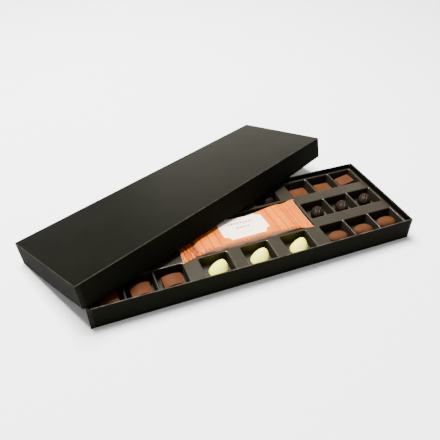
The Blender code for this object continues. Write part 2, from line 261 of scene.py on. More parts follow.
def square_path(along_x, along_y, arc_steps):
    """Walk once round the square from -1 to 1: its four sides at the given stations with an arc at
    each corner. Returns u and v on the square, the outward turn, and 4 rows that are 1 on one side."""
    u, v, turn, side = [], [], [], []
    arc = np.linspace(0, math.pi / 2, arc_steps + 1)[1:-1]
    for quarter in range(4):
        stations = along_x if quarter % 2 == 0 else along_y
        a = np.concatenate([stations, np.ones(len(arc))])
        b = -np.ones(len(a))
        facing = -math.pi / 2 + np.concatenate([np.zeros(len(stations)), arc])
        c, s = round(math.cos(quarter * math.pi / 2)), round(math.sin(quarter * math.pi / 2))
        u.append(c * a - s * b)
        v.append(s * a + c * b)
        turn.append(facing + quarter * math.pi / 2)
        side.append(np.full(len(a), quarter))
    u, v, turn, side = (np.concatenate(part) for part in (u, v, turn, side))
    close = np.r_[0:len(u), 0]
    return u[close], v[close], turn[close], side[close]


def rounded_ring(half_x, half_y, radius, path):
    """Rectangle with rounded corners: the walked square stretched to the half sizes less the radius,
    plus the radius along the outward turn."""
    u, v, turn = path[:3]
    return np.stack([(half_x - radius) * u + radius * np.cos(turn),
                     (half_y - radius) * v + radius * np.sin(turn)], -1)


# ------------------------------------------------------------------ shader helpers
def add(tree, kind, inputs=None, **settings):
    """Add a node, set its settings, and give each input a value or a link from a socket."""
    node = tree.nodes.new("ShaderNode" + kind)
    for key, value in settings.items():
        setattr(node, key, value)
    for key, value in (inputs or {}).items():
        if isinstance(value, bpy.types.NodeSocket):
            tree.links.new(value, node.inputs[key])
        else:
            node.inputs[key].default_value = value
    return node


def sums(tree, operation, a, b=0.0, c=0.0):
    """Output of a math node of two or three values."""
    return add(tree, "Math", {0: a, 1: b, 2: c}, operation=operation).outputs[0]


def blend(tree, amount, a, b):
    """Colour a where amount is 0 and colour b where it is 1."""
    inputs = {"Factor": amount, "A": a if not isinstance(a, tuple) else (*a, 1.0),
              "B": b if not isinstance(b, tuple) else (*b, 1.0)}
    node = tree.nodes.new("ShaderNodeMix")
    node.data_type = "RGBA"
    for name, value in inputs.items():
        socket = next(s for s in node.inputs if s.name == name and s.type in ("VALUE", "RGBA")
                      and (name == "Factor") == (s.type == "VALUE"))
        if isinstance(value, bpy.types.NodeSocket):
            tree.links.new(value, socket)
        else:
            socket.default_value = value
    return next(s for s in node.outputs if s.type == "RGBA")


def span(tree, value, low_in, high_in, low_out=0.0, high_out=1.0, smooth=True):
    """Map a value from one span to another, clamped."""
    node = add(tree, "MapRange", {"Value": value, "From Min": low_in, "From Max": high_in,
                                  "To Min": low_out, "To Max": high_out},
               interpolation_type="SMOOTHSTEP" if smooth else "LINEAR")
    return node.outputs["Result"]


def new_group(name, inputs, outputs):
    """An empty shader group with named number inputs and outputs."""
    group = bpy.data.node_groups.new(name, "ShaderNodeTree")
    for label, default in inputs:
        group.interface.new_socket(label, in_out="INPUT", socket_type="NodeSocketFloat").default_value = default
    for label in outputs:
        group.interface.new_socket(label, in_out="OUTPUT", socket_type="NodeSocketFloat")
    entry = group.nodes.new("NodeGroupInput")
    exit_node = group.nodes.new("NodeGroupOutput")
    return group, entry.outputs, exit_node.inputs


def place_group(tree, group, **values):
    """Place a group in a tree with its values, underscores standing for spaces."""
    node = tree.nodes.new("ShaderNodeGroup")
    node.node_tree = group
    for key, value in values.items():
        socket = node.inputs[key.replace("_", " ")]
        if isinstance(value, bpy.types.NodeSocket):
            tree.links.new(value, socket)
        else:
            socket.default_value = value
    return node.outputs


def mottling_group():
    """Soft blotches: noise of a patch size in metres, mapped to a value from Low to High."""
    group = bpy.data.node_groups.get("Mottling")
    if group:
        return group
    group, given, out = new_group("Mottling", (("Patch", 0.01), ("Low", 0.0), ("High", 1.0), ("Layer", 0.0)), ("Mask",))
    place = add(group, "TexCoord").outputs["Object"]
    shifted = add(group, "VectorMath", {0: place, 1: given["Layer"]}, operation="ADD").outputs[0]
    noise = add(group, "TexNoise", {"Vector": shifted, "Scale": sums(group, "DIVIDE", 1.0, given["Patch"]),
                                    "Detail": 4.0, "Roughness": 0.55})
    mask = span(group, noise.outputs["Fac"], 0.30, 0.70, given["Low"], given["High"])
    group.links.new(mask, out["Mask"])
    return group


def relief_group():
    """Fine relief: coarse swells and a fine grain, as one height from 0 to 1."""
    group = bpy.data.node_groups.get("Fine relief")
    if group:
        return group
    group, given, out = new_group("Fine relief", (("Swell", 0.02), ("Grain", 0.0005), ("Grain Share", 0.3)),
                                  ("Height",))
    place = add(group, "TexCoord").outputs["Object"]
    swell = add(group, "TexNoise", {"Vector": place, "Scale": sums(group, "DIVIDE", 1.0, given["Swell"]),
                                    "Detail": 2.0}).outputs["Fac"]
    grain = add(group, "TexNoise", {"Vector": place, "Scale": sums(group, "DIVIDE", 1.0, given["Grain"]),
                                    "Detail": 3.0}).outputs["Fac"]
    height = sums(group, "MULTIPLY_ADD", sums(group, "SUBTRACT", grain, swell), given["Grain Share"], swell)
    group.links.new(height, out["Height"])
    return group


def new_material(name):
    """A material with a bare Principled shader."""
    material = bpy.data.materials.new(name)
    material.use_nodes = True
    return material, material.node_tree, material.node_tree.nodes["Principled BSDF"]


def set_bump(tree, shader, height, distance, strength=1.0):
    """Feed a height to the shader's normal as a bump of a distance in metres."""
    bump = add(tree, "Bump", {"Height": height, "Distance": distance, "Strength": strength})
    tree.links.new(bump.outputs["Normal"], shader.inputs["Normal"])


def marked(tree, name, output="Fac"):
    """A piece's own attribute."""
    return add(tree, "Attribute", attribute_name=name).outputs[output]


# ------------------------------------------------------------------ card base and lid
def card_material(settings):
    """Black covering paper: fine fibre grain, faint handling marks, and a pale tone on folds, rims and corners that is
    partly rubbed card and partly painted highlight.
    """
    material = bpy.data.materials.get("Black card paper")
    if material:
        return material
    material, tree, shader = new_material("Black card paper")
    blotch = place_group(tree, mottling_group(), Patch=0.035, Low=0.0, High=1.0)["Mask"]
    fine = place_group(tree, mottling_group(), Patch=0.0016, Low=0.0, High=1.0, Layer=3.0)["Mask"]
    rub = place_group(tree, mottling_group(), Patch=0.006, Low=0.35, High=1.0, Layer=7.0)["Mask"]
    paper = tuple(settings.colour)
    lifted = tuple(1.45 * value for value in paper)
    ground = blend(tree, sums(tree, "MULTIPLY_ADD", fine, 0.35, sums(tree, "MULTIPLY", blotch, 0.5)), paper, lifted)
    wear_and_highlight = sums(tree, "MULTIPLY", marked(tree, "wear_and_highlight"), rub)
    # Wear and painted highlight: folds, rims and corners lighten towards the pale worn colour.
    tree.links.new(blend(tree, wear_and_highlight, ground, tuple(settings.wear_and_highlight)), shader.inputs["Base Color"])
    rough = place_group(tree, mottling_group(), Patch=0.05, Low=settings.roughness - 0.02,
                        High=settings.roughness + 0.02, Layer=5.0)["Mask"]
    upright = add(tree, "SeparateXYZ", {0: add(tree, "NewGeometry").outputs["Normal"]}).outputs["Z"]
    wall = span(tree, sums(tree, "ABSOLUTE", upright), 0.9, 0.4)
    tree.links.new(sums(tree, "MULTIPLY_ADD", wall, 0.40, rough), shader.inputs["Roughness"])
    shader.inputs["Specular IOR Level"].default_value = settings.gloss
    shader.inputs["Specular Tint"].default_value = (1.0, 0.93, 0.60, 1.0)
    height = place_group(tree, relief_group(), Swell=0.004, Grain=0.0004, Grain_Share=0.6)["Height"]
    set_bump(tree, shader, height, 0.00003)
    return material


def tray_profile(height, card, fold):
    """Section of a card tray from the middle of its underside, up the outer wall, over the rim and
    down to the middle of its floor, as columns: scale of the outline, inset in metres, share of the
    wall's thickness, height, and how much pale wear and painted highlight the card takes there."""
    quarter = np.radians(np.linspace(0, 90, 6))
    rows = [(0.0, fold, 0.0, 0.0, 0.0), (0.5, fold, 0.0, 0.0, 0.0), (0.9, fold, 0.0, 0.0, 0.0),
            (0.994, fold, 0.0, 0.0, 0.0)]
    # Wear and painted highlight along the middle of each fold.
    rows += [(1.0, fold * (1 - math.sin(a)), 0.0, fold * (1 - math.cos(a)), math.sin(2 * a) ** 2)
             for a in quarter]
    rim = 0.6 * fold
    rows += [(1.0, 0.0, 0.0, z, 0.0) for z in np.linspace(fold + 0.4 * MM, height - rim - 0.4 * MM, 6)]
    # Wear and painted highlight over the rim.
    rows += [(1.0, 0.0, 0.3 * (1 - math.cos(a)), height - rim * (1 - math.sin(a)), math.sin(a)) for a in quarter]
    rows += [(1.0, 0.0, 1 - 0.3 * (1 - math.sin(a)), height - rim * (1 - math.cos(a)), math.cos(a)) for a in quarter]
    rows += [(1.0, 0.0, 1.0, z, 0.0) for z in np.linspace(height - rim - 0.4 * MM, card + 0.8 * MM, 5)]
    rows += [(1.0, 0.0, 1.0, card, 0.0)]
    rows += [(scale, 0.0, 1.0, card, 0.0) for scale in (0.99, 0.9, 0.5, 0.0)]
    return np.array(rows).T


def tray(length, depth, height, card, end_wall, fold, bow, slit=None):
    """Card tray on its closed face: the section carried round a rectangle with tight corners.

    The wall's inset is its share of the thickness, which is larger at the doubled ends. Each side
    bows outward by bow x (1 - t^2) x the share of the height, t from -1 to 1 along the side. Beside
    the end walls the long walls' rim drops into a slit. Returns points and the mark of pale wear and
    painted highlight on folds, rims and corners.
    """
    scale, inset, thick, z, wear_and_highlight = (row[:, None] for row in tray_profile(height, card, fold))
    along = np.sin(np.linspace(-math.pi / 2, math.pi / 2, 41))
    stations = along
    if slit:
        edge = (length / 2 - end_wall - slit[0] * np.array([1.0, 0.98, 0.5, 0.02, 0.0])) / (length / 2 - fold)
        stations = np.unique(np.concatenate([along, edge, -edge]))
    path = square_path(stations, along, 5)
    u, v, turn, side = (part[None, :] for part in path)
    half_x = length / 2 - inset - thick * end_wall
    half_y = depth / 2 - inset - thick * card
    radius = np.maximum(fold - inset - thick * card, 0.25 * MM)
    x = np.clip(u * (length / 2 - fold), radius - half_x, half_x - radius) + radius * np.cos(turn)
    y = np.clip(v * (depth / 2 - fold), radius - half_y, half_y - radius) + radius * np.sin(turn)
    amount = np.choose(side, [bow[0], bow[2], bow[1], bow[2]])
    t = np.where(side % 2 == 0, u, v)
    rise = np.clip((z - card * thick) / (height - card), 0, 1)
    swell = amount * (1 - t * t) * rise * (scale == 1.0)
    top = np.full(u.shape, height)
    if slit:
        inside = (np.abs(u) > edge.min() + 1e-6) & (np.abs(u) < edge.max() - 1e-6) & (side % 2 == 0)
        top = np.where(inside, height - slit[1], top)
    points = np.stack(np.broadcast_arrays(scale * x + swell * np.cos(turn), scale * y + swell * np.sin(turn),
                                          np.minimum(z, top)), -1)
    wave = (np.minimum(ripple(points[..., 0] / 0.16, points[..., 1] / 0.16, 11), 1) - 1) * rise * 0.12 * MM
    points[..., 0] += wave * np.cos(turn)
    points[..., 1] += wave * np.sin(turn)
    # Wear and a faint painted highlight on the upright corners.
    corner = 1 - 0.999 * (np.abs(t) < 0.985)
    wear_and_highlight = wear_and_highlight * np.where((side % 2 == 1) & (z > height / 2), 0.3, 1.0)
    return points, np.broadcast_to(np.maximum(wear_and_highlight, 0.13 * corner * (scale == 1.0)), points.shape[:2]).copy()


def moved(points, matrix):
    """Points carried by a 4 x 4 matrix."""
    matrix = np.array(matrix)
    return points @ matrix[:3, :3].T + matrix[:3, 3]


class PRALINES_OT_base(bpy.types.Operator):
    """Build the card base"""

    bl_idname = "praline_box.base"
    bl_label = "Card base"

    def execute(self, context):
        settings = context.scene.praline_card
        height = high("base_box")[2]
        points, wear_and_highlight = tray(settings.length, settings.depth, height, settings.card, settings.end_wall,
                            settings.fold, (1.3 * MM, 0.6 * MM, 0.4 * MM), (1.1 * MM, 2.6 * MM))
        make_piece("card_base", [points], card_material(settings), ["base_box"],
                   {"wear_and_highlight": [wear_and_highlight]})
        return {"FINISHED"}


class PRALINES_OT_lid(bpy.types.Operator):
    """Build the lid and lean it on the base"""

    bl_idname = "praline_box.lid"
    bl_label = "Card lid"

    def execute(self, context):
        settings = context.scene.praline_card
        depth = settings.depth + settings.lid_oversize
        points, wear_and_highlight = tray(settings.length + settings.lid_oversize, depth, settings.lid_height, settings.card,
                            settings.end_wall, settings.fold, (0.0, 4.6 * MM, 0.8 * MM))
        middle = (low("lid") + high("lid")) / 2
        rise = high("base_box")[2] + 0.5 * MM
        lean = math.asin(rise / depth)
        turn_over = Matrix.Translation((0, 0, settings.lid_height)) @ Matrix.Rotation(math.pi, 4, "X")
        turn = Matrix.Rotation(LID_TURN, 4, "Z") @ Matrix.Rotation(-lean, 4, "X")
        placed = moved(points, turn @ turn_over)
        placed += middle - (placed.reshape(-1, 3).min(0) + placed.reshape(-1, 3).max(0)) / 2
        make_piece("card_lid", [placed], card_material(settings), ["lid"], {"wear_and_highlight": [wear_and_highlight]})
        return {"FINISHED"}


# ------------------------------------------------------------------ moulded insert
def plastic_material(settings):
    """Satin moulded sheet: pocket walls darker and more olive down each hollow, partly the thinner drawn plastic and
    partly painted shade, faint flow marks and a fine stipple.
    """
    material, tree, shader = new_material("Moulded sheet")
    drawn_and_shade = marked(tree, "drawn_and_shade")
    flow = place_group(tree, mottling_group(), Patch=0.03, Low=0.0, High=0.35)["Mask"]
    base = blend(tree, flow, tuple(settings.colour), tuple(1.3 * value for value in settings.colour))
    # Painted shade and thin-wall tint: the plastic darkens towards the drawn plastic colour down each hollow.
    tree.links.new(blend(tree, drawn_and_shade, base, tuple(settings.deep)), shader.inputs["Base Color"])
    rough = place_group(tree, mottling_group(), Patch=0.03, Low=settings.roughness - 0.03,
                        High=settings.roughness + 0.03, Layer=2.0)["Mask"]
    rim = sums(tree, "MULTIPLY", span(tree, drawn_and_shade, 0.001, 0.007), span(tree, drawn_and_shade, 0.09, 0.045))
    rough = sums(tree, "MULTIPLY_ADD", span(tree, drawn_and_shade, 0.05, 0.3), 0.25, rough)
    tree.links.new(rough, shader.inputs["Roughness"])
    tree.links.new(sums(tree, "MULTIPLY", rim, 0.6), shader.inputs["Coat Weight"])
    shader.inputs["Coat Roughness"].default_value = 0.16
    shader.inputs["Specular IOR Level"].default_value = settings.gloss
    shader.inputs["Specular Tint"].default_value = (1.0, 0.95, 0.80, 1.0)
    height = place_group(tree, relief_group(), Swell=0.016, Grain=0.003, Grain_Share=0.03)["Height"]
    set_bump(tree, shader, height, 0.00012)
    return material


def hollow(cell, centre, half, corner, rim, top, deep, stations, draft):
    """One cell of the sheet with a hollow pressed into it, as a grid of rings.

    From outside in: the cell's rectangle, a guard ring, a quarter round of the rim's radius, the
    drafted wall, a quarter round to the floor, and the floor closing on its middle. Returns points
    and how far down the hollow each point is, from 0 to 1.
    """
    path = square_path(stations[0], stations[1], 5)
    u, v = path[:2]
    mid, reach = (cell[0] + cell[1]) / 2, (cell[1] - cell[0]) / 2
    outer = mid + np.stack([u * reach[0], v * reach[1]], -1)
    foot = 2 * rim
    quarter = np.radians(np.linspace(0, 90, 6))
    rings = [(rim * (1 - math.sin(a)), rim * (1 - math.cos(a))) for a in quarter]
    rings += [(-draft * f, rim + (deep - rim - foot) * f) for f in (0.06, 0.35, 0.65, 0.94)]
    rings += [(-draft - foot * (1 - math.cos(a)), deep - foot * (1 - math.sin(a))) for a in quarter]
    flats = [centre + rounded_ring(half[0] + out, half[1] + out, max(corner + out, 0.5 * MM), path)
             for out, _ in rings]
    inner = centre + (flats[-1] - centre) * 0.97
    guard = flats[0] + (outer - flats[0]) * 0.05
    plan = [outer, guard, *flats, inner] + [centre + (inner - centre) * f for f in (0.6, 0.2, 0.0)]
    down = np.array([0.0, 0.0, *[drop for _, drop in rings], deep, deep, deep, deep])
    plan = np.stack(plan)
    points = np.concatenate([plan, np.broadcast_to((top - down)[:, None, None], (*plan.shape[:2], 1))], -1)
    drawn_and_shade = np.broadcast_to(np.clip(down / (0.35 * deep), 0, 1)[:, None], plan.shape[:2]).copy()
    return points, drawn_and_shade


class PRALINES_OT_insert(bpy.types.Operator):
    """Build the moulded insert with its pockets, recess and skirt"""

    bl_idname = "praline_box.insert"
    bl_label = "Moulded insert"

    def execute(self, context):
        settings = context.scene.praline_insert
        top = high("insert")[2]
        reach = high("insert")[:2] - 0.2 * MM
        edge = settings.rim
        group = [side * GROUP_MIDDLE + k * COLUMN_PITCH for side in (-1, 1) for k in (-1, 0, 1)]
        centre = [k * CENTRE_PITCH for k in (-1, 0, 1)]
        bound = 86.65 * MM                 # between the outer groups and the middle
        outer = reach - edge
        lines_x = np.array([-outer[0], -GROUP_MIDDLE - COLUMN_PITCH / 2, -GROUP_MIDDLE + COLUMN_PITCH / 2,
                            -bound, -CENTRE_PITCH / 2, CENTRE_PITCH / 2, bound,
                            GROUP_MIDDLE - COLUMN_PITCH / 2, GROUP_MIDDLE + COLUMN_PITCH / 2, outer[0]])
        lines_y = np.array([-outer[1], -30.35 * MM, 30.35 * MM, outer[1]])
        columns = group[:3] + centre + group[3:]
        along = np.sin(np.linspace(-math.pi / 2, math.pi / 2, 15))
        sides = [(a + b) / 2 + (b - a) / 2 * along for a, b in zip(lines_x[3:6], lines_x[4:7])]
        recess_x = np.unique(np.round(np.concatenate(sides) / bound, 9))
        pocket = np.array([33.7, 31.0]) * MM / 2
        centre_pocket = np.array([35.2, 31.0]) * MM / 2
        recess = np.array([85.0, 28.4]) * MM
        grids, marks = [], []
        for row in (-1, 0, 1):
            for k, x in enumerate(columns):
                if row == 0 and 3 <= k <= 5:
                    continue
                cell = np.array([[lines_x[k], lines_y[row + 1]], [lines_x[k + 1], lines_y[row + 2]]])
                half = centre_pocket if 3 <= k <= 5 else pocket
                points, drawn_and_shade = hollow(cell, np.array([x, row * ROW_PITCH]), half, settings.corner, settings.rim,
                                       top, settings.pocket_depth, (along, along), 0.9 * MM)
                grids.append(points)
                marks.append(drawn_and_shade)
        cell = np.array([[-bound, lines_y[1]], [bound, lines_y[2]]])
        points, drawn_and_shade = hollow(cell, np.zeros(2), recess, settings.corner, settings.rim, top,
                               settings.recess_depth, (recess_x, along), 0.4 * MM)
        grids.append(points)
        marks.append(drawn_and_shade * 0.6)
        skirt = self.skirt(lines_x, lines_y, along, edge, top)
        grids.append(skirt)
        marks.append(np.zeros(skirt.shape[:2]))
        for grid in grids:
            flat = smooth_step((grid[..., 2] - top + 2 * MM) / (2 * MM))
            sag = ripple(grid[..., 0] / 0.11, grid[..., 1] / 0.11, 21) * 0.16 * MM
            grid[..., 2] += (sag - 0.16 * MM) * flat
        solid = ("SOLIDIFY", {"thickness": settings.sheet, "offset": -1.0, "use_even_offset": True})
        make_piece("moulded_insert", grids, plastic_material(settings), ["insert"],
                   {"drawn_and_shade": marks}, [solid])
        return {"FINISHED"}

    def skirt(self, lines_x, lines_y, along, edge, top):
        """Rounded outer edge and skirt: the plate's outline pushed outward along its turn."""
        stations = [np.unique(np.round(np.concatenate(
            [(a + b) / 2 + (b - a) / 2 * along for a, b in zip(lines[:-1], lines[1:])]) / lines[-1], 9))
            for lines in (lines_x, lines_y)]
        path = square_path(*stations, 5)
        floor = low("insert")[2]
        quarter = np.radians(np.linspace(0, 90, 5))
        steps = [(0.0, top)] + [(edge * math.sin(a), top - edge * (1 - math.cos(a))) for a in quarter[1:]]
        steps += [(edge, top - 3 * MM), (edge, floor + 6 * MM), (edge + 0.1 * MM, floor)]
        rings = []
        for out, z in steps:
            ring = rounded_ring(lines_x[-1] + out, lines_y[-1] + out, out, path)
            rings.append(np.concatenate([ring, np.full((len(ring), 1), z)], -1))
        return np.stack(rings[::-1])


# ------------------------------------------------------------------ film pouch
def film_material(settings):
    """Glossy printed film: thin cross lines at both ends of a pale plaque with notched corners and two
    rows of small lozenges. The print is placed by the film's own length and width. Painted shade
    darkens the seal roots and the crumpled left seal, and the sides under the fold are painted darker
    than the print."""
    material, tree, shader = new_material("Printed film")
    parts = add(tree, "SeparateXYZ", {0: marked(tree, "film", "Vector")}).outputs
    along, across, seal = parts["X"], parts["Y"], parts["Z"]
    off = sums(tree, "ABSOLUTE", sums(tree, "SUBTRACT", along, 0.001))
    beyond = sums(tree, "SUBTRACT", off, 3.62 * settings.stripe)
    nearest = sums(tree, "PINGPONG", beyond, settings.stripe / 2)
    side = marked(tree, "side")
    fold = span(tree, side, 0.02, 0.3)
    line = sums(tree, "MULTIPLY", span(tree, nearest, 0.0017, 0.0002),
                sums(tree, "MAXIMUM", fold, span(tree, beyond, -0.002, -0.001)))
    spots = span(tree, sums(tree, "PINGPONG", beyond, settings.stripe / 4), 0.0022, 0.0008)
    spots = sums(tree, "MULTIPLY", spots, sums(tree, "MULTIPLY", span(tree, across, -0.0235, -0.0250),
                                               span(tree, side, 0.9, 0.5)))
    thin = span(tree, sums(tree, "PINGPONG", along, 0.0019), 0.0006, 0.0013)
    faint = sums(tree, "MULTIPLY_ADD", seal, span(tree, along, -0.02, 0.02, 0.75, 0.15), 0.05)
    line = sums(tree, "MAXIMUM", line, sums(tree, "MULTIPLY", thin, faint))
    tint = place_group(tree, mottling_group(), Patch=0.02, Low=0.0, High=0.35)["Mask"]
    ground = blend(tree, tint, tuple(settings.ground), tuple(settings.line))
    pale = span(tree, sums(tree, "PINGPONG", sums(tree, "ADD", beyond, 0.002), settings.stripe), 0.002, 0.009)
    ground = blend(tree, sums(tree, "MULTIPLY", pale, 0.5), ground, (0.63, 0.172, 0.001))
    paint = blend(tree, sums(tree, "MULTIPLY", line, 0.75), ground, tuple(settings.line))
    half_x, half_y = settings.plaque_x, settings.plaque_y
    px = sums(tree, "ABSOLUTE", sums(tree, "SUBTRACT", along, 0.0004))
    py = sums(tree, "ABSOLUTE", across)
    dx = sums(tree, "SUBTRACT", half_x, px)
    dy = sums(tree, "SUBTRACT", half_y, py)
    corner = sums(tree, "SQRT", sums(tree, "ADD", sums(tree, "MULTIPLY", dx, dx), sums(tree, "MULTIPLY", dy, dy)))
    inside = sums(tree, "MINIMUM", sums(tree, "MINIMUM", dx, dy), sums(tree, "SUBTRACT", corner, settings.notch))
    plaque = span(tree, inside, 0.0, 0.0004)
    rim = sums(tree, "MULTIPLY", span(tree, inside, -0.0011, -0.0008), span(tree, inside, -0.0002, -0.0005))
    paint = blend(tree, sums(tree, "MULTIPLY", rim, 0.35), paint, tuple(settings.line))
    paint = blend(tree, plaque, paint, tuple(settings.plaque))
    for middle, reach, pitch, strength in ((7.6, 16.0, 3.8, 1.0), (-1.4, 9.0, 3.8, 1.0), (-12.6, 10.0, 1.8, 0.5)):
        cell = sums(tree, "PINGPONG", along, pitch / 2 * MM)
        row = sums(tree, "ABSOLUTE", sums(tree, "SUBTRACT", across, middle * MM))
        lozenge = span(tree, sums(tree, "MULTIPLY_ADD", row, 0.75, cell), 0.46 * pitch * MM, 0.36 * pitch * MM)
        lozenge = sums(tree, "MULTIPLY", lozenge, span(tree, px, (reach + 0.3) * MM, reach * MM))
        paint = blend(tree, sums(tree, "MULTIPLY", lozenge, strength), paint, tuple(settings.ornament))
    # Partly unprinted film and partly painted shade: the sides under the fold take the dark Side colour.
    paint = blend(tree, span(tree, side, 0.5, 1.0), paint, tuple(settings.side))
    spots = sums(tree, "MULTIPLY", spots, sums(tree, "SUBTRACT", 1.0, seal))
    paint = blend(tree, spots, paint, tuple(settings.line))
    # Painted shade: a dark red-brown at the root of each seal and over the crumples of the left seal.
    painted_crease_shade = sums(tree, "MULTIPLY", marked(tree, "painted_crease_shade"), 0.8)
    paint = blend(tree, painted_crease_shade, paint, tuple(0.5 * value for value in settings.line))
    cut = sums(tree, "MAXIMUM", span(tree, along, 0.0812, 0.0820), span(tree, along, -0.0857, -0.0865))
    paint = blend(tree, sums(tree, "MULTIPLY", cut, 0.5), paint, (0.80, 0.42, 0.20))
    tree.links.new(paint, shader.inputs["Base Color"])
    rough = place_group(tree, mottling_group(), Patch=0.008, Low=0.22, High=0.34, Layer=4.0)["Mask"]
    tree.links.new(rough, shader.inputs["Roughness"])
    shader.inputs["Specular IOR Level"].default_value = 0.06
    rib = sums(tree, "SINE", sums(tree, "MULTIPLY", across, 2 * math.pi / (1.3 * MM)))
    fine = place_group(tree, relief_group(), Swell=0.006, Grain=0.0014, Grain_Share=0.35)["Height"]
    height = sums(tree, "MULTIPLY_ADD", sums(tree, "MULTIPLY", rib, seal), 0.25, fine)
    set_bump(tree, shader, height, 0.00035)
    return material


def film_ring(x, body, seal_z, top_z, floor_z, front, back):
    """Cross-sections of the pouch at every x: flat in the seals and a soft slab in the body, whose
    back is lower. From the back edge over the top to the front edge, then under it to the back."""
    inside = np.minimum(x - body[0], body[1] - x)
    swell = smooth_step(inside / (11.0 * MM))
    spread = np.maximum(0.0, -inside) / (15.3 * MM)
    waist = 1.2 * MM * (1 - swell)
    y_front = front - 5.4 * MM * spread + waist
    y_back = back + 3.4 * MM * spread - waist
    sag = np.exp(-((x - 10 * MM) / (30 * MM)) ** 2)
    y_back = y_back - 6.4 * MM * sag
    centre, half = (y_front + y_back) / 2, (y_back - y_front) / 2
    top = seal_z + 0.6 * MM + (top_z - seal_z - 0.6 * MM) * swell
    bottom = seal_z + (floor_z - seal_z) * swell
    a = math.pi / 2 * (1 - np.cos(math.pi * np.linspace(0, 1, TOP_POINTS)))[None]
    across = np.sign(np.cos(a)) * np.abs(np.cos(a)) ** 0.45
    up = np.maximum(0.05, np.abs(np.sin(a)) ** 0.45)
    drop = swell * (2.2 * MM + 1.8 * MM * sag * (1 + across) / 2) * (1 + across) / 2
    y = centre + half * across
    foot = seal_z - 0.4 * MM * swell
    z = foot + (top - drop - foot) * up
    under = np.array([(0.03, 0), (0.3, 0), (0.6, 0), (0.8, 0.33), (0.93, 0.6), (1, 1.0), (1, 2.5), (1, 5)])
    tuck = 1.2 + 0.25 * np.sin(x / (4.1 * MM)) + 0.2 * np.sin(x / (2.3 * MM) + 1)
    tuck = 3.4 * MM * tuck * swell * (1 - smooth_step((np.abs(x + 2 * MM) - 36 * MM) / (26 * MM)))
    y = y + tuck * np.maximum(0, -across) * up ** 1.3
    side = smooth_step((top - drop - z - 0.8 * MM) / (1.0 * MM)) * swell
    lower = half - 3.2 * MM * swell
    low_y = [centre + side * (lower - 3.2 * MM * inward)
             for side, order in ((-1, under), (1, under[::-1])) for _, inward in order]
    low_z = [foot + (bottom - foot) * level for order in (under, under[::-1]) for level, _ in order]
    y = np.concatenate([y, *low_y], 1)
    side = np.concatenate([side, np.repeat(swell, y.shape[1] - side.shape[1], 1)], 1)
    z = np.concatenate([z, *low_z], 1)
    return y, z, (y - centre) / half, inside, swell, spread, side


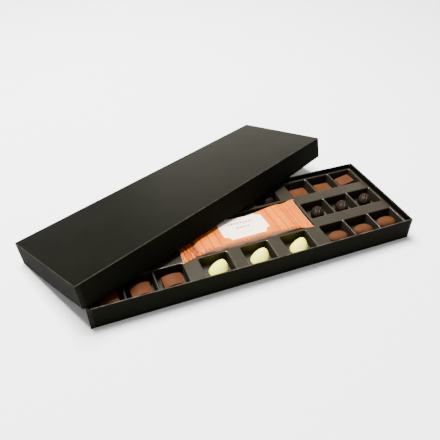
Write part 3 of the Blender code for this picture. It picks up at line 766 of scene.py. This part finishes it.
class PRALINES_OT_pouch(bpy.types.Operator):
    """Build the printed film pouch with its flared, crimped seals"""

    bl_idname = "praline_box.pouch"
    bl_label = "Film pouch"

    def execute(self, context):
        settings = context.scene.praline_pouch
        top = high("pouch")[2]
        ends = (-86.6 * MM, 82.3 * MM)
        body = (-69.0 * MM, 67.0 * MM)
        steps = np.concatenate([np.linspace(ends[0], body[0], 34)[:-1], np.linspace(body[0], -50 * MM, 46)[:-1],
                                np.linspace(-50 * MM, 48 * MM, 110)[:-1], np.linspace(48 * MM, body[1], 46)[:-1],
                                np.linspace(body[1], ends[1], 30)])
        x = steps[:, None]
        y, z, across, inside, swell, spread, fallen = film_ring(
            x, body, 23.5 * MM, top, low("pouch")[2], -29.0 * MM, 25.4 * MM)
        count = TOP_POINTS
        above = np.zeros(y.shape[1])
        above[:count] = np.sin(np.linspace(0, math.pi, count)) ** 0.35
        left = x < 0
        side = np.where(left, -1.0, 1.0)
        # Print place: the film's width is measured round the section from the middle of the top.
        step = np.hypot(np.diff(y[:, :count], axis=1), np.diff(z[:, :count], axis=1))
        run = np.concatenate([np.zeros((len(x), 1)), np.cumsum(step, 1)], 1)
        middle = np.array([np.interp(2 * MM, -one, length) for one, length in zip(y[:, :count], run)])
        run = middle[:, None] - run - 2 * MM
        width = np.concatenate([run, np.repeat(run[:, -1:], y.shape[1] - count, 1)], 1)
        sealed = smooth_step(-(inside - 0.5 * MM) / (2 * MM))
        film = np.stack(np.broadcast_arrays(x, width, sealed), -1)
        uneven = ripple(y / 0.012, x / 0.012, 31)
        # Painted shade: a band at each seal's root, and dark crumple lines over the left seal.
        neck = np.where(x < 0, 2.5 * MM, 1.7 * MM)
        painted_crease_shade = np.exp(-((inside - 1.5 * MM + 0.8 * MM * uneven) / neck) ** 2) * np.where(x < 0, 1.3, 0.6)
        painted_crumple_shade = smooth_step(ripple(x / 0.0050 + 0.3 * y / 0.0050, y / 0.016, 41) * 3.0 + 0.6)
        painted_crease_shade = np.minimum(1.3, painted_crease_shade + 0.9 * painted_crumple_shade * sealed * (x < 0))
        # Wrinkles: pleats running out of each seal, fading over the body, and broad cross swells.
        out = np.maximum(inside, 0)
        reach = np.exp(-out / (11 * MM)) * smooth_step((inside + 2 * MM) / (5 * MM))
        pleat = sum(np.sin(2 * math.pi * y / pitch + phase + side * turn + 90 * out * kink) * size
                    for pitch, phase, turn, kink, size in
                    ((13.1 * MM, 0.4, 0.9, 0.5, 0.9), (8.3 * MM, 2.1, 0.3, -0.8, 0.7),
                     (5.2 * MM, 4.4, 1.7, 1.1, 0.4)))
        broad = ripple(x / 0.050 + 0 * y, y / 0.030, 5) * 0.6 + ripple(x / 0.017 + 0 * y, y / 0.045, 8) * 0.35
        curl = ripple(x / 0.024 + 0 * y, y / 0.020, 13)
        lift = settings.wrinkle * (1.15 * pleat * reach + 0.75 * broad * swell + 0.9 * curl * (1 - swell))
        z = z + above * (lift - 0.55 * MM * swell)
        z = z + (1 - above) * np.minimum(lift, 0) * (1 - swell) * 0.5
        # The crumpled left seal: its back corner is pulled in and its outer edge lifted in waves.
        pulled = spread * left * smooth_step((across - 0.2) / 0.8)
        y = y - 1.5 * MM * pulled
        shift = spread * 1.0 * MM * across - side * spread * 1.2 * MM * (1 - across ** 2) + 2.6 * MM * pulled
        zigzag = 0.45 * MM * (np.abs((y / (1.5 * MM)) % 1 - 0.5) * 2) * (spread > 0.97)
        x = x + shift - side * zigzag
        z = z + spread * (0.5 * MM * (1 + ripple(y / 0.030, 0 * y, 17)))
        z = np.minimum(z, top - 0.05 * MM + 0.05 * MM * np.tanh((z - top) / (0.5 * MM)))
        turn = math.radians(0.8)
        points = np.stack([x * math.cos(turn) - y * math.sin(turn), x * math.sin(turn) + y * math.cos(turn), z], -1)
        rings = [points, film, np.broadcast_to(painted_crease_shade, y.shape)[..., None], fallen[..., None]]
        for k, ring in enumerate(rings):
            ring = np.concatenate([ring, ring[:, :1]], 1)
            caps = [np.repeat(ring[[row], :].mean(1, keepdims=True), ring.shape[1], 1) for row in (0, -1)]
            rings[k] = np.concatenate([caps[0], ring, caps[1]], 0)
        make_piece("film_pouch", [rings[0]], film_material(settings), ["pouch"],
                   {"film": [rings[1]], "painted_crease_shade": [rings[2][..., 0]], "side": [rings[3][..., 0]]})
        return {"FINISHED"}


# ------------------------------------------------------------------ pralines
def chocolate_material(name, base, light, roughness, scatter, gloss):
    """Moulded chocolate: mottled skin with a paler bloom, soft grain, and a thin gloss, plus a painted highlight and a
    painted shade from each piece's own marks.
    """
    material = bpy.data.materials.get(name)
    if material:
        return material
    material, tree, shader = new_material(name)
    blotch = place_group(tree, mottling_group(), Patch=0.009, Low=0.0, High=1.0, Layer=1.0)["Mask"]
    fine = place_group(tree, mottling_group(), Patch=0.0012, Low=0.0, High=0.4, Layer=6.0)["Mask"]
    bloom = sums(tree, "MULTIPLY_ADD", blotch, 0.6, fine)
    skin = blend(tree, bloom, base, light)
    # Painted highlight: the ridge tops of the ridged pralines lighten towards the paler bloom colour.
    edge = blend(tree, marked(tree, "painted_highlight"), skin, light)
    # Painted shade: a deep red-brown on the lower sides of the ridged pralines and on the two ends of each log.
    edge = blend(tree, marked(tree, "painted_shade"), edge, (0.40 * base[0], 0.28 * base[1], 0.25 * base[2]))
    tree.links.new(edge, shader.inputs["Base Color"])
    rough = place_group(tree, mottling_group(), Patch=0.005, Low=roughness - 0.06, High=roughness + 0.08,
                        Layer=8.0)["Mask"]
    tree.links.new(rough, shader.inputs["Roughness"])
    shader.inputs["Subsurface Weight"].default_value = scatter
    shader.inputs["Subsurface Radius"].default_value = (0.002, 0.001, 0.0006)
    shader.inputs["Specular IOR Level"].default_value = gloss
    height = place_group(tree, relief_group(), Swell=0.0045, Grain=0.0006, Grain_Share=0.30)["Height"]
    set_bump(tree, shader, height, 0.00022)
    return material


def dome(half_x, half_y, height, foot, belly, lean=(0.0, 0.0), power=2.0):
    """Round-topped praline: sections widen as a sine from the foot to the belly and close above it as
    (1 - t^power)^(1/power); the crown leans off by the square of the height. Pole to pole."""
    t = np.linspace(0, 1, 25)[1:]
    level = np.concatenate([[0, 0, 0, 0], np.array([0.01, 0.03]), belly * np.linspace(0.2, 1, 7),
                            belly + (1 - belly) * np.sin(math.pi / 2 * t)])
    below = foot + (1 - foot) * np.sin(math.pi / 2 * np.clip(level / belly, 0, 1))
    above = (1 - np.clip((level - belly) / (1 - belly), 0, 1) ** power) ** (1 / power)
    width = np.where(level < belly, below, above)
    width[:6] *= (0.0, 0.5, 0.9, 0.955, 0.985, 0.998)
    a = np.linspace(0, 2 * math.pi, 73)[None]
    a[0, -1] = 0.0
    level, width = level[:, None], width[:, None]
    return np.stack(np.broadcast_arrays(half_x * width * np.cos(a) + lean[0] * level ** 2,
                                        half_y * width * np.sin(a) + lean[1] * level ** 2, height * level), -1)


def ridged(points, half_y, height):
    """Parallel grooves cut down into a dome: half a cosine across its width, fading at its foot. Returns a painted
    highlight: lighter ridge tops, none in the grooves, fading towards the foot.
    """
    across = points[..., 1] / half_y
    groove = 0.5 - 0.5 * np.cos(math.pi * 5 * across)
    fade = smooth_step(points[..., 2] / height / 0.5)
    points[..., 2] -= 0.7 * MM * groove * fade
    return (1 - groove) * fade


def log():
    """Arched bar: an arch on upright sides, carried along its depth and rounded at both ends."""
    half_x, half_y, height, side_height, end_round = 11.1 * MM, 10.0 * MM, 12.1 * MM, 9.7 * MM, 1.3 * MM
    a = np.linspace(0, math.pi, 33)
    t = np.linspace(0, 1, 7)[:-1]
    wide = 1 - 0.05 * (1 - t) ** 2
    up = 0.3 * MM + t * (side_height - 0.3 * MM)
    flat = np.linspace(-0.9, 0.9, 9)
    x = half_x * np.concatenate([[0.93], wide, np.cos(a), -wide[::-1], [-0.93], flat])
    z = np.concatenate([[0.0], up, side_height + (height - side_height) * np.sin(a) ** 2, up[::-1], [0.0], 0 * flat])
    x, z = np.append(x, x[0]), np.append(z, z[0])
    q = np.radians(np.linspace(0, 90, 7))
    inset = end_round * (1 - np.sin(q))
    y = -half_y + end_round * (1 - np.cos(q))
    scale = np.concatenate([[0, 0.5, 0.85], 1 - inset / half_x, np.ones(15), (1 - inset / half_x)[::-1],
                            [0.85, 0.5, 0]])[:, None]
    y = np.concatenate([[-half_y] * 3, y, np.linspace(-half_y + end_round, half_y - end_round, 17)[1:-1],
                        -y[::-1], [half_y] * 3])[:, None]
    middle = height / 2
    z = middle + (z[None] - middle) * scale
    return np.stack(np.broadcast_arrays(x[None] * scale, y * (1 - 0.12 * (z / height) ** 2), z), -1)


def block():
    """Low rectangular praline: upright sides, rounded corners and a soft upper edge."""
    half_x, half_y, height, edge = 11.3 * MM, 9.1 * MM, 9.8 * MM, 1.9 * MM
    q = np.radians(np.linspace(0, 90, 7))
    levels = [(0.0, 0.0), (0.0, 0.5), (0.0, 0.93)] + [(z, 1.0) for z in (0.0005, 0.002, 0.004, 0.006)]
    levels += [(height - edge * (1 - math.sin(a)), 1 - edge * (1 - math.cos(a)) / half_x) for a in q]
    levels += [(height + 0.2 * MM * (1 - f * f), f) for f in (0.72, 0.55, 0.35, 0.15, 0.0)]
    stations = np.linspace(-1, 1, 15)
    ring = rounded_ring(half_x, half_y, 2.6 * MM, square_path(stations, stations, 5))
    rows = [np.concatenate([ring * scale, np.full((len(ring), 1), z)], -1) for z, scale in levels]
    return np.stack(rows)


class PRALINES_OT_pralines(bpy.types.Operator):
    """Shape one praline in every pocket, by its row and kind"""

    bl_idname = "praline_box.pralines"
    bl_label = "Pralines"

    def execute(self, context):
        settings = context.scene.praline_sweets
        finishes = {
            "milk": ("milk_chocolate", chocolate_material(
                "Milk chocolate", tuple(settings.milk), tuple(settings.milk_bloom), 0.58, 0.0, 0.03)),
            "dark": ("dark_chocolate", chocolate_material(
                "Dark chocolate", tuple(settings.dark), tuple(settings.dark_bloom), 0.42, 0.0, 0.07)),
            "white": ("white_chocolate", chocolate_material(
                "White chocolate", tuple(settings.white), tuple(settings.white_bloom), 0.42, 0.15, 0.15)),
        }
        for number, (row, (kind, turns)) in enumerate(ROWS.items()):
            slot, material = finishes[kind.split("_")[0]]
            for k, turn in enumerate(turns):
                node = f"{kind}_{row}_{k + 1}"
                points, painted_highlight, painted_shade = self.shape(kind, 10 * number + k, settings.uneven)
                points = moved(points, Matrix.Rotation(math.radians(turn), 4, "Z"))
                leaning = node == "milk_block_right_back_3"
                points[..., 2] += 0.20 * leaning * points[..., 0]
                lowest, highest = points.reshape(-1, 3).min(0), points.reshape(-1, 3).max(0)
                box_low, box_high = low(node), high(node)
                room = (box_high - box_low) / (highest - lowest)
                plan = min(room[:2]) * (0.89 if leaning else 1.0)
                points = (points - (lowest + highest) / 2) * np.array([plan, plan, room[2]])
                make_piece(f"praline_{row}_{k + 1}", [points + (box_low + box_high) / 2], material, [node],
                           {"painted_highlight": [painted_highlight], "painted_shade": [painted_shade]})
        return {"FINISHED"}

    def shape(self, kind, seed, uneven):
        """One praline of a kind, with its own soft unevenness, its painted highlight on ridge tops and its painted
        shade on lower sides and log ends.
        """
        painted_highlight = None
        painted_shade = 0.0
        if kind == "milk_oval":
            points = dome(13.0 * MM, 9.2 * MM, 11.2 * MM, 0.80, 0.34, power=2.5)
        elif kind == "dark_round":
            points = dome(10.4 * MM, 10.0 * MM, 12.6 * MM, 0.84, 0.30)
        elif kind == "white_egg":
            points = dome(11.8 * MM, 9.7 * MM, 14.4 * MM, 0.80, 0.26, (7.6 * MM, 3.0 * MM), 1.55)
        elif kind == "dark_ridged":
            points = dome(10.9 * MM, 8.6 * MM, 13.4 * MM, 0.90, 0.22, power=2.3)
            # Painted highlight on the ridge tops.
            painted_highlight = 0.5 * ridged(points, 8.6 * MM, 13.4 * MM)
            # Painted shade: the lower sides of a ridged praline are darker.
            painted_shade = 0.8 * smooth_step((0.66 - points[..., 2] / (13.4 * MM)) / 0.25)
        elif kind == "milk_log":
            points = log()
            # Painted shade: the front and back ends of the log are darker.
            painted_shade = smooth_step((np.abs(points[..., 1]) / (10.0 * MM) - 0.90 + 0.12 * points[..., 2] / (12.1 * MM)) / 0.04)
        else:
            points = block()
        if painted_highlight is None:
            painted_highlight = np.zeros(points.shape[:2])
        lifted = smooth_step(points[..., 2:] / (2 * MM))
        bump = (ripple(points[..., 0] / 0.011, (points[..., 1] + points[..., 2]) / 0.011, seed)
                + 0.4 * ripple(points[..., 0] / 0.004, points[..., 1] / 0.004, seed + 500))
        outward = points - np.array([0, 0, 3 * MM])
        outward /= np.maximum(np.linalg.norm(outward, axis=-1, keepdims=True), 1e-6)
        return points + outward * lifted * bump[..., None] * uneven, painted_highlight, painted_shade + 0 * painted_highlight


# ------------------------------------------------------------------ stage
class PRALINES_OT_stage(bpy.types.Operator):
    """Set up the pale floor, the soft light and the camera"""

    bl_idname = "praline_box.stage"
    bl_label = "Stage"

    def execute(self, context):
        settings = context.scene.praline_stage
        self.floor(tuple(settings.floor))
        world = bpy.data.worlds.new("Soft room")
        world.use_nodes = True
        background = world.node_tree.nodes["Background"]
        background.inputs["Color"].default_value = (1.0, 1.0, 1.0, 1.0)
        background.inputs["Strength"].default_value = settings.sky
        context.scene.world = world
        self.lamp("overhead", settings.key, (-0.24, 0.62, 1.88), (0, 0, 0), (0.9, 0.9))
        self.lamp("back panel", settings.back, (0.88, 1.95, 0.60), (0, 0, 0.1), (1.8, 1.2), (1.0, 0.93, 0.78))
        data = bpy.data.cameras.new("camera")
        data.lens = 38.64
        data.sensor_width = 36.0
        camera = bpy.data.objects.new("camera", data)
        camera.location = (-0.18578, -0.40254, 0.40039)
        down, aside = math.radians(39.54), math.radians(21.19)
        ahead = Vector((math.sin(aside) * math.cos(down), math.cos(aside) * math.cos(down), -math.sin(down)))
        camera.rotation_euler = ahead.to_track_quat("-Z", "Y").to_euler()
        context.scene.collection.objects.link(camera)
        context.scene.camera = camera
        return {"FINISHED"}

    def floor(self, tint):
        """Large pale floor, faintly mottled."""
        corners = [(-4, -4, 0), (4, -4, 0), (4, 4, 0), (-4, 4, 0)]
        mesh = bpy.data.meshes.new("floor")
        mesh.from_pydata(corners, [], [(0, 1, 2, 3)])
        material, tree, shader = new_material("Pale floor")
        shade = place_group(tree, mottling_group(), Patch=0.3, Low=0.0, High=1.0)["Mask"]
        tree.links.new(blend(tree, shade, tint, tuple(0.985 * value for value in tint)),
                       shader.inputs["Base Color"])
        shader.inputs["Roughness"].default_value = 0.85
        shader.inputs["Specular IOR Level"].default_value = 0.2
        mesh.materials.append(material)
        floor = bpy.data.objects.new("floor", mesh)
        bpy.context.scene.collection.objects.link(floor)

    def lamp(self, name, power, place, target, spread, tint=(1.0, 1.0, 1.0)):
        """Rectangular area light aimed at a point."""
        data = bpy.data.lights.new(name, "AREA")
        data.shape = "RECTANGLE"
        data.energy, (data.size, data.size_y) = power, spread
        data.color = tint
        lamp = bpy.data.objects.new(name, data)
        lamp.location = place
        lamp.rotation_euler = (Vector(target) - Vector(place)).to_track_quat("-Z", "Y").to_euler()
        bpy.context.scene.collection.objects.link(lamp)


# ------------------------------------------------------------------ panel and registration
class PRALINES_PT_panel(bpy.types.Panel):
    """Settings of the praline box and the steps that build it"""

    bl_idname = "PRALINES_PT_panel"
    bl_label = "Praline Box"
    bl_space_type = "VIEW_3D"
    bl_region_type = "UI"
    bl_category = "Praline Box"

    def draw(self, context):
        for name, group, operators in STEPS:
            box = self.layout.box()
            box.label(text=group.__doc__)
            for key in group.__annotations__:
                box.prop(getattr(context.scene, name), key)
            for operator in operators:
                box.operator(operator.bl_idname)


STEPS = (
    ("praline_card", CardSettings, (PRALINES_OT_base, PRALINES_OT_lid)),
    ("praline_insert", InsertSettings, (PRALINES_OT_insert,)),
    ("praline_pouch", PouchSettings, (PRALINES_OT_pouch,)),
    ("praline_sweets", PralineSettings, (PRALINES_OT_pralines,)),
    ("praline_stage", StageSettings, (PRALINES_OT_stage,)),
)


def register():
    """Register the settings, the operators and the panel."""
    for name, group, operators in STEPS:
        bpy.utils.register_class(group)
        setattr(bpy.types.Scene, name, PointerProperty(type=group))
        for operator in operators:
            bpy.utils.register_class(operator)
    bpy.utils.register_class(PRALINES_PT_panel)


def unregister():
    """Undo register, in reverse."""
    bpy.utils.unregister_class(PRALINES_PT_panel)
    for name, group, operators in reversed(STEPS):
        for operator in reversed(operators):
            bpy.utils.unregister_class(operator)
        delattr(bpy.types.Scene, name)
        bpy.utils.unregister_class(group)


def main():
    """Build every piece in order."""
    register()
    for step in (bpy.ops.praline_box.base, bpy.ops.praline_box.lid, bpy.ops.praline_box.insert,
                 bpy.ops.praline_box.pouch, bpy.ops.praline_box.pralines, bpy.ops.praline_box.stage):
        step()


if __name__ == "__main__":
    main()
